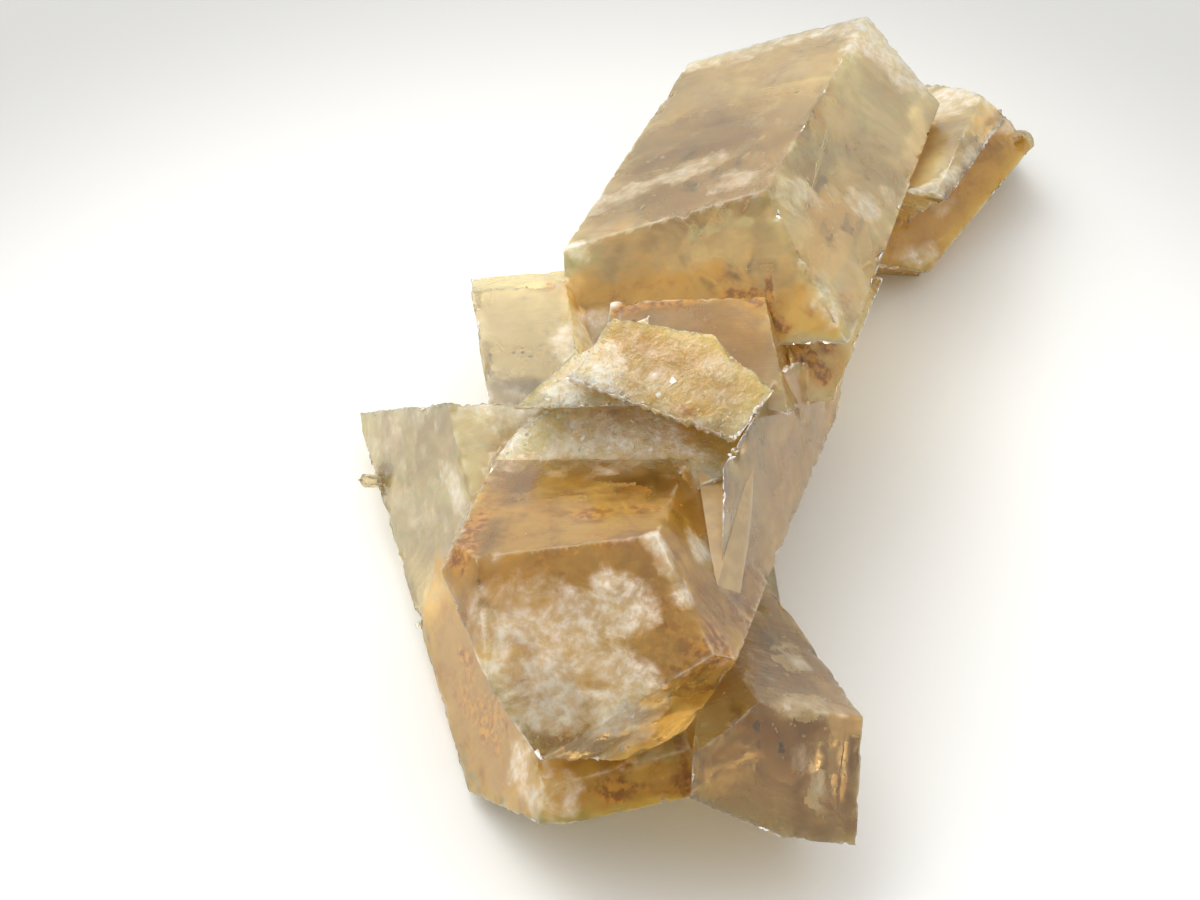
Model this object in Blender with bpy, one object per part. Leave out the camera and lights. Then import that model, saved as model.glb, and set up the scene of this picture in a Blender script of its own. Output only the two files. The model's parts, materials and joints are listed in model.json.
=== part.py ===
# Smoky quartz cluster: a bundle of stout six-sided crystals that grew together.
# Units are metres, +Z is up, the cut base rests on z = 0.
import math

import bmesh
import bpy
from mathutils import Matrix, Vector

MM = 0.001
BASE_Z = 0.0            # flat cut the cluster rests on
BLANK_RADIUS = 0.090    # radius of the six-sided blank every crystal is cut from
BLANK_LENGTH = 0.180    # length of that blank along the crystal's long axis

# Every crystal: centre in mm, heading and rise of its long axis in degrees, and
# its faces as (turn about the axis in degrees, slope from the axis in degrees,
# distance from the centre in mm). Slopes near 90 are prism sides, slopes near
# 45 to 52 are the end faces, and slopes past 100 are broken back ends.
CRYSTALS = {
    "front": dict(centre=(-2.5, -18.4, 25.0), heading=-102.0, rise=19.3, faces={
        "m0": (101.7, 93.2, 5.35),
        "m-1": (43.7, 91.4, 11.84),
        "m-2": (-24.9, 83.6, 19.16),
        "m2": (-137.2, 69.9, 12.39),
        "m1": (159.7, 90.0, 11.05),
        "t0": (86.6, 45.3, 11.38),
        "t1": (157.7, 51.4, 14.41),
        "t-2": (-26.5, 47.0, 21.13),
        "m3": (-90.4, 60.5, 19.64),
        "k": (-56.4, 74.1, 20.43),
        "m2b": (-145.6, 71.3, 11.86),
        "m-2b": (-17.5, 86.5, 19.17),
        "tail": (0.0, 180.0, 20.04),
        "tail2": (27.5, 126.5, 15.06),
    }),
    "upper": dict(centre=(25.6, 33.9, 23.0), heading=-109.1, rise=9.4, faces={
        "m0": (116.7, 95.0, 7.74),
        "m1": (171.5, 90.3, 23.92),
        "m-1": (52.7, 94.6, 2.86),
        "m-2": (-8.7, 92.2, 8.48),
        "t0": (100.3, 45.2, 15.39),
        "q": (-72.7, 71.6, 11.11),
        "q2": (-36.6, 85.2, 10.37),
        "kl": (-170.6, 73.0, 29.29),
        "m3": (-63.3, 85.0, 9.76),
        "m2": (-127.3, 85.4, 21.14),
        "end": (-132.4, 166.2, 33.60),
        "end2": (-80.4, 162.9, 30.10),
        "end3": (-145.9, 169.1, 33.42),
    }),
    "middle": dict(centre=(12.4, 7.1, 21.3), heading=-83.2, rise=-1.7, faces={
        "m0": (86.4, 90.0, 6.38),
        "m-1": (21.1, 90.0, 7.77),
        "m-2": (-37.9, 91.7, 38.72),
        "kr": (-94.5, 49.7, 8.40),
        "upl": (83.2, 158.1, 7.96),
        "upr": (15.9, 118.3, 9.45),
        "left": (-175.3, 100.5, 11.11),
        "tip": (-128.7, 47.2, 18.00),
        "m3": (-93.6, 90.0, 27.62),
        "ll": (-116.5, 51.2, 0.32),
    }),
    "flank": dict(centre=(16.4, 2.2, 12.0), heading=-83.2, rise=-1.7, faces={
        "face": (23.8, 71.6, 7.55),
        "kr": (-30.5, 62.1, 4.97),
        "kr2": (-19.5, 75.3, 8.00),
        "top": (129.1, 143.9, 7.38),
        "left2": (176.1, 119.0, -0.90),
        "left": (-173.0, 101.3, 0.39),
        "tip": (-114.4, 41.9, 12.66),
        "deep": (-156.2, 108.4, 18.45),
    }),
    "right": dict(centre=(10.5, -29.0, 14.7), heading=-73.9, rise=14.3, faces={
        "m0": (59.4, 95.7, 4.98),
        "m1": (95.9, 97.0, 3.61),
        "m-1": (-22.7, 90.9, 13.83),
        "t0": (48.5, 40.2, 10.95),
        "m3": (-120.6, 84.3, 12.02),
        "kb": (-132.4, 71.7, 8.04),
        "kb2": (-117.9, 67.5, 10.39),
        "l": (176.9, 111.1, 0.13),
        "tail": (90.0, 180.0, 24.61),
    }),
    "left": dict(centre=(-8.4, -18.5, 9.0), heading=-76.2, rise=-10.7, faces={
        "m0": (99.2, 90.0, 10.31),
        "m1": (159.2, 90.0, 6.09),
        "m2": (-151.7, 85.0, 11.03),
        "m-1": (39.2, 90.0, 17.30),
        "t0": (99.2, 52.0, 21.04),
        "foot": (-85.8, 32.3, 16.38),
        "foot2": (-102.9, 37.0, 15.01),
        "corner": (-164.9, 78.1, 12.12),
        "head": (64.9, 149.9, 24.90),
        "headl": (-170.1, 97.7, 16.59),
        "m3": (-80.8, 90.0, 19.69),
    }),
    "small": dict(centre=(-8.9, 17.3, 15.6), heading=-81.9, rise=-2.4, faces={
        "m0": (93.3, 90.0, 7.13),
        "m1": (-173.0, 89.7, 4.22),
        "m-1": (33.3, 90.0, 8.54),
        "top": (90.8, 121.6, 7.31),
        "head": (85.1, 147.2, 8.04),
        "foot": (-100.0, 38.3, 12.25),
        "m3": (-86.7, 90.0, 7.87),
    }),
    "wing": dict(centre=(42.8, 60.6, 5.6), heading=-109.1, rise=9.4, faces={
        "m0": (116.7, 95.0, 4.57),
        "m-1": (52.7, 94.6, 7.57),
        "low": (-34.2, 81.4, 3.04),
        "head": (96.3, 139.1, 8.08),
        "head1": (25.4, 130.4, 7.36),
        "head2": (58.1, 139.2, 6.46),
        "foot": (-101.0, 35.1, 14.42),
        "back": (-126.0, 134.7, 12.23),
        "left": (178.7, 74.9, 7.19),
    }),
    "stained": dict(centre=(43.9, 54.3, 2.2), heading=-125.5, rise=2.0, faces={
        "face": (59.8, 78.2, 5.73),
        "edge": (-31.4, 94.2, 2.60),
        "foot": (-57.5, 49.5, 10.74),
        "head": (40.3, 145.2, 10.51),
        "back": (-123.1, 100.5, 2.00),
        "left": (168.2, 68.9, 12.17),
        "top": (123.5, 118.8, 9.40),
    }),
    "plate": dict(centre=(7.2, -1.2, 32.0), heading=-111.3, rise=74.0, faces={
        "face": (180.0, 0.0, 2.64),
        "back": (0.0, 180.0, 4.36),
        "e1": (96.8, 69.7, 4.59),
        "e2": (63.0, 79.0, 5.75),
        "e3": (-15.9, 107.6, 9.77),
        "e4": (-94.3, 126.7, 3.20),
        "e5": (164.8, 74.9, 8.17),
        "e6": (-130.3, 104.0, 11.43),
    }),
    "tongue": dict(centre=(-3.6, -2.6, 31.5), heading=-155.1, rise=77.1, faces={
        "face": (135.0, 0.0, -0.53),
        "back": (0.0, 180.0, 9.53),
        "e1": (179.6, 59.0, 2.85),
        "e2": (-94.5, 98.1, 8.39),
        "e3": (-161.2, 62.1, 2.00),
        "e4": (-31.4, 131.8, 2.22),
        "e5": (63.9, 107.6, 8.54),
    }),
    "rim": dict(centre=(-2.1, -3.7, 22.4), heading=-136.6, rise=72.3, faces={
        "face": (-76.0, 0.0, 4.62),
        "back": (104.0, 180.0, 4.38),
        "e1": (166.8, 67.3, 5.14),
        "e2": (147.8, 64.8, 4.81),
        "e2b": (122.8, 69.3, 5.86),
        "e3": (-161.7, 73.1, 7.07),
        "e4": (88.1, 82.9, 11.45),
        "e5": (18.0, 111.4, 14.99),
        "e6": (-20.8, 118.6, 9.39),
        "e7": (-43.2, 117.0, 8.06),
    }),
    "root": dict(centre=(12.0, 25.1, 12.9), heading=82.9, rise=-31.4, faces={
        "top": (84.1, 134.7, 4.72),
        "e1": (16.5, 87.2, 11.57),
        "e2": (78.3, 71.5, 13.16),
        "e3": (157.4, 80.8, 13.57),
        "e4": (-166.9, 89.9, 10.38),
        "e5": (-8.7, 94.6, 12.74),
        "e6": (-95.7, 108.3, 23.81),
        "deep": (-87.1, 42.7, 29.58),
    }),
    "sliver": dict(centre=(28.5, 19.1, 16.1), heading=-116.5, rise=-18.6, faces={
        "face": (55.4, 98.3, 5.36),
        "edge": (-25.5, 90.8, -0.42),
        "head": (122.9, 145.1, 5.91),
        "foot": (-43.2, 36.1, 7.71),
        "back": (-123.4, 99.2, 5.42),
        "left": (171.0, 65.0, 8.18),
    }),
}

# Small clear crystals: (foot in mm, tip in mm, radius in mm)
TINY = {
    "tip_left": ((-23.3, 5.8, 5.5), (-27.5, 6.0, 5.7), 0.95),
    "clear_right": ((51.5, 59.5, 5.3), (52.2, 57.2, 9.4), 1.75),
}


def face_frame(heading, rise):
    """Axis of a crystal and the two directions its face turns are read from."""
    h, r = math.radians(heading), math.radians(rise)
    axis = Vector((math.cos(r) * math.cos(h), math.cos(r) * math.sin(h), math.sin(r)))
    ex = Vector((0.0, 0.0, 1.0)).cross(axis).normalized()
    return axis, ex, axis.cross(ex)


def face_normal(frame, turn, slope):
    axis, ex, ey = frame
    t, s = math.radians(turn), math.radians(slope)
    return axis * math.cos(s) + (ex * math.cos(t) + ey * math.sin(t)) * math.sin(s)


def slice_off(bm, point, normal):
    """Cut everything beyond a plane away and close the cut with one flat face."""
    geom = bm.verts[:] + bm.edges[:] + bm.faces[:]
    cut = bmesh.ops.bisect_plane(bm, geom=geom, dist=1e-7, plane_co=point,
                                 plane_no=normal, clear_outer=True)
    edges = [e for e in cut["geom_cut"] if isinstance(e, bmesh.types.BMEdge)]
    if edges:
        bmesh.ops.contextual_create(bm, geom=edges)


def crystal_mesh(name, spec):
    """One crystal: a six-sided blank trimmed by the planes of its faces."""
    frame = face_frame(spec["heading"], spec["rise"])
    axis, ex, ey = frame
    centre = Vector(spec["centre"]) * MM
    bm = bmesh.new()
    turn = Matrix((ex, ey, axis)).transposed().to_4x4()
    bmesh.ops.create_cone(bm, cap_ends=True, segments=6, radius1=BLANK_RADIUS,
                          radius2=BLANK_RADIUS, depth=BLANK_LENGTH,
                          matrix=Matrix.Translation(centre) @ turn)
    for t, s, dist in spec["faces"].values():
        n = face_normal(frame, t, s)
        slice_off(bm, centre + n * dist * MM, n)
    bmesh.ops.remove_doubles(bm, verts=bm.verts, dist=2e-6)
    bmesh.ops.recalc_face_normals(bm, faces=bm.faces)
    me = bpy.data.meshes.new(name)
    bm.to_mesh(me)
    bm.free()
    return me


def tiny_mesh(name, foot, tip, radius):
    """A small clear point: a six-sided rod with a pyramid end."""
    a, b = Vector(foot) * MM, Vector(tip) * MM
    axis = (b - a).normalized()
    length = (b - a).length
    turn = axis.to_track_quat("Z", "Y").to_matrix().to_4x4()
    bm = bmesh.new()
    bmesh.ops.create_cone(bm, cap_ends=True, segments=6, radius1=radius * MM,
                          radius2=radius * MM, depth=length,
                          matrix=Matrix.Translation((a + b) / 2) @ turn)
    for k in range(6):
        r = Matrix.Rotation(math.radians(30 + 60 * k), 3, axis)
        side = r @ (turn.to_3x3() @ Vector((1.0, 0.0, 0.0)))
        n = (axis * math.cos(math.radians(51.8)) + side * math.sin(math.radians(51.8)))
        slice_off(bm, b, n.normalized())
    bmesh.ops.remove_doubles(bm, verts=bm.verts, dist=2e-6)
    bmesh.ops.recalc_face_normals(bm, faces=bm.faces)
    me = bpy.data.meshes.new(name)
    bm.to_mesh(me)
    bm.free()
    return me


def quartz_material():
    m = bpy.data.materials.new("smoky_quartz")
    m.use_nodes = True
    p = m.node_tree.nodes["Principled BSDF"]
    p.inputs["Base Color"].default_value = (0.72, 0.60, 0.46, 1.0)
    p.inputs["Roughness"].default_value = 0.12
    p.inputs["IOR"].default_value = 1.544
    p.inputs["Transmission Weight"].default_value = 0.85
    return m


for obj in list(bpy.data.objects):
    bpy.data.objects.remove(obj, do_unlink=True)

scene = bpy.context.scene
home = bpy.data.collections.new("Smoky_Quartz_Cluster")
tools = bpy.data.collections.new("Cutters")
scene.collection.children.link(home)
scene.collection.children.link(tools)

grown = []
for name, spec in CRYSTALS.items():
    grown.append(bpy.data.objects.new("crystal_" + name, crystal_mesh("crystal_" + name, spec)))
for name, (foot, tip, radius) in TINY.items():
    grown.append(bpy.data.objects.new("crystal_" + name, tiny_mesh("crystal_" + name, foot, tip, radius)))

# the front crystal carries the others: they are joined to it one after another
cluster = grown[0]
cluster.name = "quartz_cluster"
cluster.data.name = "quartz_cluster"
cluster.data.materials.append(quartz_material())
home.objects.link(cluster)
for other in grown[1:]:
    tools.objects.link(other)
    other.hide_render = True
    other.display_type = "WIRE"
    join = cluster.modifiers.new("join_" + other.name, "BOOLEAN")
    join.operation = "UNION"
    join.solver = "EXACT"
    join.object = other

# flat cut where the cluster was taken off its ground
ground = bpy.data.meshes.new("ground_cut")
bm = bmesh.new()
bmesh.ops.create_cube(bm, size=1.0, matrix=Matrix.Translation((0.0, 0.0, BASE_Z - 0.10))
                      @ Matrix.Diagonal((0.4, 0.4, 0.2, 1.0)))
bm.to_mesh(ground)
bm.free()
ground_obj = bpy.data.objects.new("ground_cut", ground)
ground_obj.hide_render = True
ground_obj.display_type = "WIRE"
tools.objects.link(ground_obj)
cut = cluster.modifiers.new("cut_base", "BOOLEAN")
cut.operation = "DIFFERENCE"
cut.solver = "EXACT"
cut.object = ground_obj
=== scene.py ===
import json
import math

import bmesh
import bpy
import numpy as np
from mathutils import Matrix, Vector, kdtree
from mathutils.bvhtree import BVHTree

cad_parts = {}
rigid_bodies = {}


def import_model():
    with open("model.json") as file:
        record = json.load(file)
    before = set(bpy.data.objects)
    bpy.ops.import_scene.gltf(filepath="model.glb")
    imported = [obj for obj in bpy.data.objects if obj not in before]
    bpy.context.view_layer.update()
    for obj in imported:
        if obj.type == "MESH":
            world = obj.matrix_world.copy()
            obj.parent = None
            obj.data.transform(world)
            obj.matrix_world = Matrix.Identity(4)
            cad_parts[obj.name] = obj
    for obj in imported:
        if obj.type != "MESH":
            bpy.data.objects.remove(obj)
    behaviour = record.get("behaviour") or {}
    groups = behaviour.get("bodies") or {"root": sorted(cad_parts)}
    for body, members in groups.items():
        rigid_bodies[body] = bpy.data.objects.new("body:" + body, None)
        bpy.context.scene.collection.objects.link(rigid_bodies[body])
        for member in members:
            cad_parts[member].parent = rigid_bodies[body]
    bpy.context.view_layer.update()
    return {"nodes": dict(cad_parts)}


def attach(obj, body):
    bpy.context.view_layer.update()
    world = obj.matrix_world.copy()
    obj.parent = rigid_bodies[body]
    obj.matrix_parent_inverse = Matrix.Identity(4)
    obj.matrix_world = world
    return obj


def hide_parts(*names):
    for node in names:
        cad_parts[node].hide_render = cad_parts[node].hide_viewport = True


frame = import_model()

MM = 0.001
cad = frame["nodes"]["quartz_cluster"]
scene = bpy.context.scene

# Every crystal: centre in mm, heading and rise of its long axis in degrees, and
# its faces as (turn about the axis in degrees, slope from the axis in degrees,
# distance from the centre in mm), as in the solid model.
CRYSTALS = {
    "front": dict(centre=(-2.5, -18.4, 25.0), heading=-102.0, rise=19.3, faces={
        "m0": (101.7, 93.2, 5.35),
        "m-1": (43.7, 91.4, 11.84),
        "m-2": (-24.9, 83.6, 19.16),
        "m2": (-137.2, 69.9, 12.39),
        "m1": (159.7, 90.0, 11.05),
        "t0": (86.6, 45.3, 11.38),
        "t1": (157.7, 51.4, 14.41),
        "t-2": (-26.5, 47.0, 21.13),
        "m3": (-90.4, 60.5, 19.64),
        "k": (-56.4, 74.1, 20.43),
        "m2b": (-145.6, 71.3, 11.86),
        "m-2b": (-17.5, 86.5, 19.17),
        "tail": (0.0, 180.0, 20.04),
        "tail2": (27.5, 126.5, 15.06),
    }),
    "upper": dict(centre=(25.6, 33.9, 23.0), heading=-109.1, rise=9.4, faces={
        "m0": (116.7, 95.0, 7.74),
        "m1": (171.5, 90.3, 23.92),
        "m-1": (52.7, 94.6, 2.86),
        "m-2": (-8.7, 92.2, 8.48),
        "t0": (100.3, 45.2, 15.39),
        "q": (-72.7, 71.6, 11.11),
        "q2": (-36.6, 85.2, 10.37),
        "kl": (-170.6, 73.0, 29.29),
        "m3": (-63.3, 85.0, 9.76),
        "m2": (-127.3, 85.4, 21.14),
        "end": (-132.4, 166.2, 33.60),
        "end2": (-80.4, 162.9, 30.10),
        "end3": (-145.9, 169.1, 33.42),
    }),
    "middle": dict(centre=(12.4, 7.1, 21.3), heading=-83.2, rise=-1.7, faces={
        "m0": (86.4, 90.0, 6.38),
        "m-1": (21.1, 90.0, 7.77),
        "m-2": (-37.9, 91.7, 38.72),
        "kr": (-94.5, 49.7, 8.40),
        "upl": (83.2, 158.1, 7.96),
        "upr": (15.9, 118.3, 9.45),
        "left": (-175.3, 100.5, 11.11),
        "tip": (-128.7, 47.2, 18.00),
        "m3": (-93.6, 90.0, 27.62),
        "ll": (-116.5, 51.2, 0.32),
    }),
    "flank": dict(centre=(16.4, 2.2, 12.0), heading=-83.2, rise=-1.7, faces={
        "face": (23.8, 71.6, 7.55),
        "kr": (-30.5, 62.1, 4.97),
        "kr2": (-19.5, 75.3, 8.00),
        "top": (129.1, 143.9, 7.38),
        "left2": (176.1, 119.0, -0.90),
        "left": (-173.0, 101.3, 0.39),
        "tip": (-114.4, 41.9, 12.66),
        "deep": (-156.2, 108.4, 18.45),
    }),
    "right": dict(centre=(10.5, -29.0, 14.7), heading=-73.9, rise=14.3, faces={
        "m0": (59.4, 95.7, 4.98),
        "m1": (95.9, 97.0, 3.61),
        "m-1": (-22.7, 90.9, 13.83),
        "t0": (48.5, 40.2, 10.95),
        "m3": (-120.6, 84.3, 12.02),
        "kb": (-132.4, 71.7, 8.04),
        "kb2": (-117.9, 67.5, 10.39),
        "l": (176.9, 111.1, 0.13),
        "tail": (90.0, 180.0, 24.61),
    }),
    "left": dict(centre=(-8.4, -18.5, 9.0), heading=-76.2, rise=-10.7, faces={
        "m0": (99.2, 90.0, 10.31),
        "m1": (159.2, 90.0, 6.09),
        "m2": (-151.7, 85.0, 11.03),
        "m-1": (39.2, 90.0, 17.30),
        "t0": (99.2, 52.0, 21.04),
        "foot": (-85.8, 32.3, 16.38),
        "foot2": (-102.9, 37.0, 15.01),
        "corner": (-164.9, 78.1, 12.12),
        "head": (64.9, 149.9, 24.90),
        "headl": (-170.1, 97.7, 16.59),
        "m3": (-80.8, 90.0, 19.69),
    }),
    "small": dict(centre=(-8.9, 17.3, 15.6), heading=-81.9, rise=-2.4, faces={
        "m0": (93.3, 90.0, 7.13),
        "m1": (-173.0, 89.7, 4.22),
        "m-1": (33.3, 90.0, 8.54),
        "top": (90.8, 121.6, 7.31),
        "head": (85.1, 147.2, 8.04),
        "foot": (-100.0, 38.3, 12.25),
        "m3": (-86.7, 90.0, 7.87),
    }),
    "wing": dict(centre=(42.8, 60.6, 5.6), heading=-109.1, rise=9.4, faces={
        "m0": (116.7, 95.0, 4.57),
        "m-1": (52.7, 94.6, 7.57),
        "low": (-34.2, 81.4, 3.04),
        "head": (96.3, 139.1, 8.08),
        "head1": (25.4, 130.4, 7.36),
        "head2": (58.1, 139.2, 6.46),
        "foot": (-101.0, 35.1, 14.42),
        "back": (-126.0, 134.7, 12.23),
        "left": (178.7, 74.9, 7.19),
    }),
    "stained": dict(centre=(43.9, 54.3, 2.2), heading=-125.5, rise=2.0, faces={
        "face": (59.8, 78.2, 5.73),
        "edge": (-31.4, 94.2, 2.60),
        "foot": (-57.5, 49.5, 10.74),
        "head": (40.3, 145.2, 10.51),
        "back": (-123.1, 100.5, 2.00),
        "left": (168.2, 68.9, 12.17),
        "top": (123.5, 118.8, 9.40),
    }),
    "plate": dict(centre=(7.2, -1.2, 32.0), heading=-111.3, rise=74.0, faces={
        "face": (180.0, 0.0, 2.64),
        "back": (0.0, 180.0, 4.36),
        "e1": (96.8, 69.7, 4.59),
        "e2": (63.0, 79.0, 5.75),
        "e3": (-15.9, 107.6, 9.77),
        "e4": (-94.3, 126.7, 3.20),
        "e5": (164.8, 74.9, 8.17),
        "e6": (-130.3, 104.0, 11.43),
    }),
    "tongue": dict(centre=(-3.6, -2.6, 31.5), heading=-155.1, rise=77.1, faces={
        "face": (135.0, 0.0, -0.53),
        "back": (0.0, 180.0, 9.53),
        "e1": (179.6, 59.0, 2.85),
        "e2": (-94.5, 98.1, 8.39),
        "e3": (-161.2, 62.1, 2.00),
        "e4": (-31.4, 131.8, 2.22),
        "e5": (63.9, 107.6, 8.54),
    }),
    "rim": dict(centre=(-2.1, -3.7, 22.4), heading=-136.6, rise=72.3, faces={
        "face": (-76.0, 0.0, 4.62),
        "back": (104.0, 180.0, 4.38),
        "e1": (166.8, 67.3, 5.14),
        "e2": (147.8, 64.8, 4.81),
        "e2b": (122.8, 69.3, 5.86),
        "e3": (-161.7, 73.1, 7.07),
        "e4": (88.1, 82.9, 11.45),
        "e5": (18.0, 111.4, 14.99),
        "e6": (-20.8, 118.6, 9.39),
        "e7": (-43.2, 117.0, 8.06),
    }),
    "root": dict(centre=(12.0, 25.1, 12.9), heading=82.9, rise=-31.4, faces={
        "top": (84.1, 134.7, 4.72),
        "e1": (16.5, 87.2, 11.57),
        "e2": (78.3, 71.5, 13.16),
        "e3": (157.4, 80.8, 13.57),
        "e4": (-166.9, 89.9, 10.38),
        "e5": (-8.7, 94.6, 12.74),
        "e6": (-95.7, 108.3, 23.81),
        "deep": (-87.1, 42.7, 29.58),
    }),
    "sliver": dict(centre=(28.5, 19.1, 16.1), heading=-116.5, rise=-18.6, faces={
        "face": (55.4, 98.3, 5.36),
        "edge": (-25.5, 90.8, -0.42),
        "head": (122.9, 145.1, 5.91),
        "foot": (-43.2, 36.1, 7.71),
        "back": (-123.4, 99.2, 5.42),
        "left": (171.0, 65.0, 8.18),
    }),
}

# faces that are broken, not grown: (crystal, face) -> how deep the break is, in mm
BROKEN = {
    ("upper", "end"): 0.75, ("upper", "end2"): 0.75, ("upper", "end3"): 0.85,
    ("upper", "kl"): 0.25, ("upper", "q"): 0.35, ("upper", "q2"): 0.3,
    ("wing", "low"): 0.55, ("wing", "head"): 0.4, ("wing", "head1"): 0.5,
    ("wing", "head2"): 0.5, ("wing", "foot"): 0.6, ("wing", "left"): 0.4,
    ("stained", "face"): 0.22, ("stained", "head"): 0.5, ("stained", "foot"): 0.5,
    ("stained", "edge"): 0.25, ("stained", "top"): 0.4,
    ("plate", "face"): 0.80, ("plate", "e1"): 0.5, ("plate", "e2"): 0.5,
    ("plate", "e3"): 0.5, ("plate", "e4"): 0.55, ("plate", "e5"): 0.5,
    ("plate", "e6"): 0.5, ("plate", "back"): 0.4,
    ("tongue", "face"): 0.7, ("tongue", "e1"): 0.5, ("tongue", "e2"): 0.5,
    ("tongue", "e4"): 0.5, ("tongue", "e5"): 0.4,
    ("rim", "face"): 0.80, ("rim", "e1"): 0.6, ("rim", "e2"): 0.6,
    ("rim", "e2b"): 0.5, ("rim", "e3"): 0.6, ("rim", "e4"): 0.5,
    ("rim", "e5"): 0.5, ("rim", "e6"): 0.5, ("rim", "e7"): 0.5,
    ("root", "top"): 0.7, ("root", "e1"): 0.8, ("root", "e2"): 0.8,
    ("root", "e3"): 0.8, ("root", "e4"): 0.8, ("root", "e5"): 0.8,
    ("root", "e6"): 0.8, ("root", "deep"): 0.6,
    ("sliver", "face"): 0.25, ("sliver", "edge"): 0.3, ("sliver", "head"): 0.4,
    ("middle", "left"): 0.4, ("middle", "ll"): 0.4, ("middle", "tip"): 0.4,
    ("flank", "left"): 0.15, ("flank", "left2"): 0.15, ("flank", "top"): 0.3,
    ("flank", "kr"): 0.35, ("flank", "kr2"): 0.3,
    ("left", "head"): 0.55, ("left", "headl"): 0.5, ("left", "foot2"): 0.35,
    ("left", "corner"): 0.4, ("left", "m2"): 0.3,
    ("small", "top"): 0.3, ("small", "head"): 0.4, ("small", "m1"): 0.3,
    ("right", "kb"): 0.3, ("right", "kb2"): 0.3,
    ("front", "k"): 0.25, ("front", "m3"): 0.25,
}


# ---------------------------------------------------------------- numbers
def vnoise(p, seed=0):
    """Smooth value noise, 0 to 1, at the points p given in cells."""
    p = np.asarray(p, float)
    i = np.floor(p).astype(np.int64)
    f = p - i
    f = f * f * f * (f * (f * 6 - 15) + 10)

    def lattice(dx, dy, dz):
        n = ((i[:, 0] + dx) * 73856093) ^ ((i[:, 1] + dy) * 19349663) ^ ((i[:, 2] + dz) * 83492791) ^ (seed * 2654435761)
        n &= 0xFFFFFFFF
        n = ((n ^ (n >> 15)) * 2246822519) & 0xFFFFFFFF
        n = ((n ^ (n >> 13)) * 3266489917) & 0xFFFFFFFF
        n ^= n >> 16
        return (n & 0xFFFFFF) / float(0xFFFFFF)

    x, y, z = f[:, 0], f[:, 1], f[:, 2]
    out = 0.0
    for dx in (0, 1):
        for dy in (0, 1):
            for dz in (0, 1):
                w = (x if dx else 1 - x) * (y if dy else 1 - y) * (z if dz else 1 - z)
                out = out + w * lattice(dx, dy, dz)
    return out


def fbm(p, octaves=4, seed=0, gain=0.5):
    p = np.asarray(p, float)
    total, amp, norm = 0.0, 1.0, 0.0
    for k in range(octaves):
        total = total + amp * vnoise(p * 2.03 ** k + 17.3 * k, seed + k)
        norm += amp
        amp *= gain
    return total / norm


def ridged(p, octaves=4, seed=0):
    """Sharp crested noise for broken, shell-like surfaces, 0 to 1."""
    p = np.asarray(p, float)
    total, amp, norm = 0.0, 1.0, 0.0
    for k in range(octaves):
        total = total + amp * (1 - np.abs(2 * vnoise(p * 2.1 ** k + 31.7 * k, seed + k) - 1)) ** 2
        norm += amp
        amp *= 0.5
    return total / norm


def step(lo, hi, x):
    t = np.clip((x - lo) / (hi - lo), 0, 1)
    return t * t * (3 - 2 * t)


def unit(v):
    v = np.asarray(v, float)
    return v / np.linalg.norm(v)


# ---------------------------------------------------------------- camera
ELEVATION = math.radians(50.0)
DISTANCE = 303 * MM
AIM = np.array((0.0, 0.0, 18 * MM))
RIGHT = np.array((1.0, 0.0, 0.0))
UP = np.array((0.0, math.sin(ELEVATION), math.cos(ELEVATION)))
BACK = np.array((0.0, -math.cos(ELEVATION), math.sin(ELEVATION)))
EYE = AIM + BACK * DISTANCE

cam_data = bpy.data.cameras.new("camera")
cam_data.lens = 85
cam_data.sensor_width = 36
cam_data.clip_start = 0.01
cam_data.clip_end = 20
cam = bpy.data.objects.new("camera", cam_data)
cam.matrix_world = Matrix(((RIGHT[0], UP[0], BACK[0], EYE[0]),
                           (RIGHT[1], UP[1], BACK[1], EYE[1]),
                           (RIGHT[2], UP[2], BACK[2], EYE[2]), (0, 0, 0, 1)))
scene.collection.objects.link(cam)
scene.camera = cam

# where a line of sight meets the solid model, for placing marks and inner sheets
cad_bm = bmesh.new()
cad_bm.from_mesh(cad.data)
cad_bm.transform(cad.matrix_world)
cad_tree = BVHTree.FromBMesh(cad_bm)


def sight(x, y):
    return unit(RIGHT * (x - 600) + UP * (450 - y) - BACK * (85 / 36 * 1200))


def at(x, y, deep=0.0):
    """Point on the cluster under the place x, y of a 1200 x 900 view, deep mm inside it."""
    d = sight(x, y)
    hit, normal, _, _ = cad_tree.ray_cast(Vector(EYE), Vector(d))
    if hit is None:
        near = cad_tree.find_nearest(Vector(EYE + d * DISTANCE))
        hit, normal = near[0], near[1]
    return np.array(hit) + d * deep * MM


# ---------------------------------------------------------------- crystal faces
def face_frame(spec):
    h, r = math.radians(spec["heading"]), math.radians(spec["rise"])
    axis = np.array((math.cos(r) * math.cos(h), math.cos(r) * math.sin(h), math.sin(r)))
    ex = unit(np.cross((0, 0, 1.0), axis))
    return axis, ex, np.cross(axis, ex)


PLANES = []                     # (crystal, face, normal, offset, axis, slope)
for name, spec in CRYSTALS.items():
    axis, ex, ey = face_frame(spec)
    centre = np.array(spec["centre"]) * MM
    for label, (turn, slope, dist) in spec["faces"].items():
        t, s = math.radians(turn), math.radians(slope)
        n = axis * math.cos(s) + (ex * math.cos(t) + ey * math.sin(t)) * math.sin(s)
        PLANES.append((name, label, n, float(n @ centre) + dist * MM, axis, slope))


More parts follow.
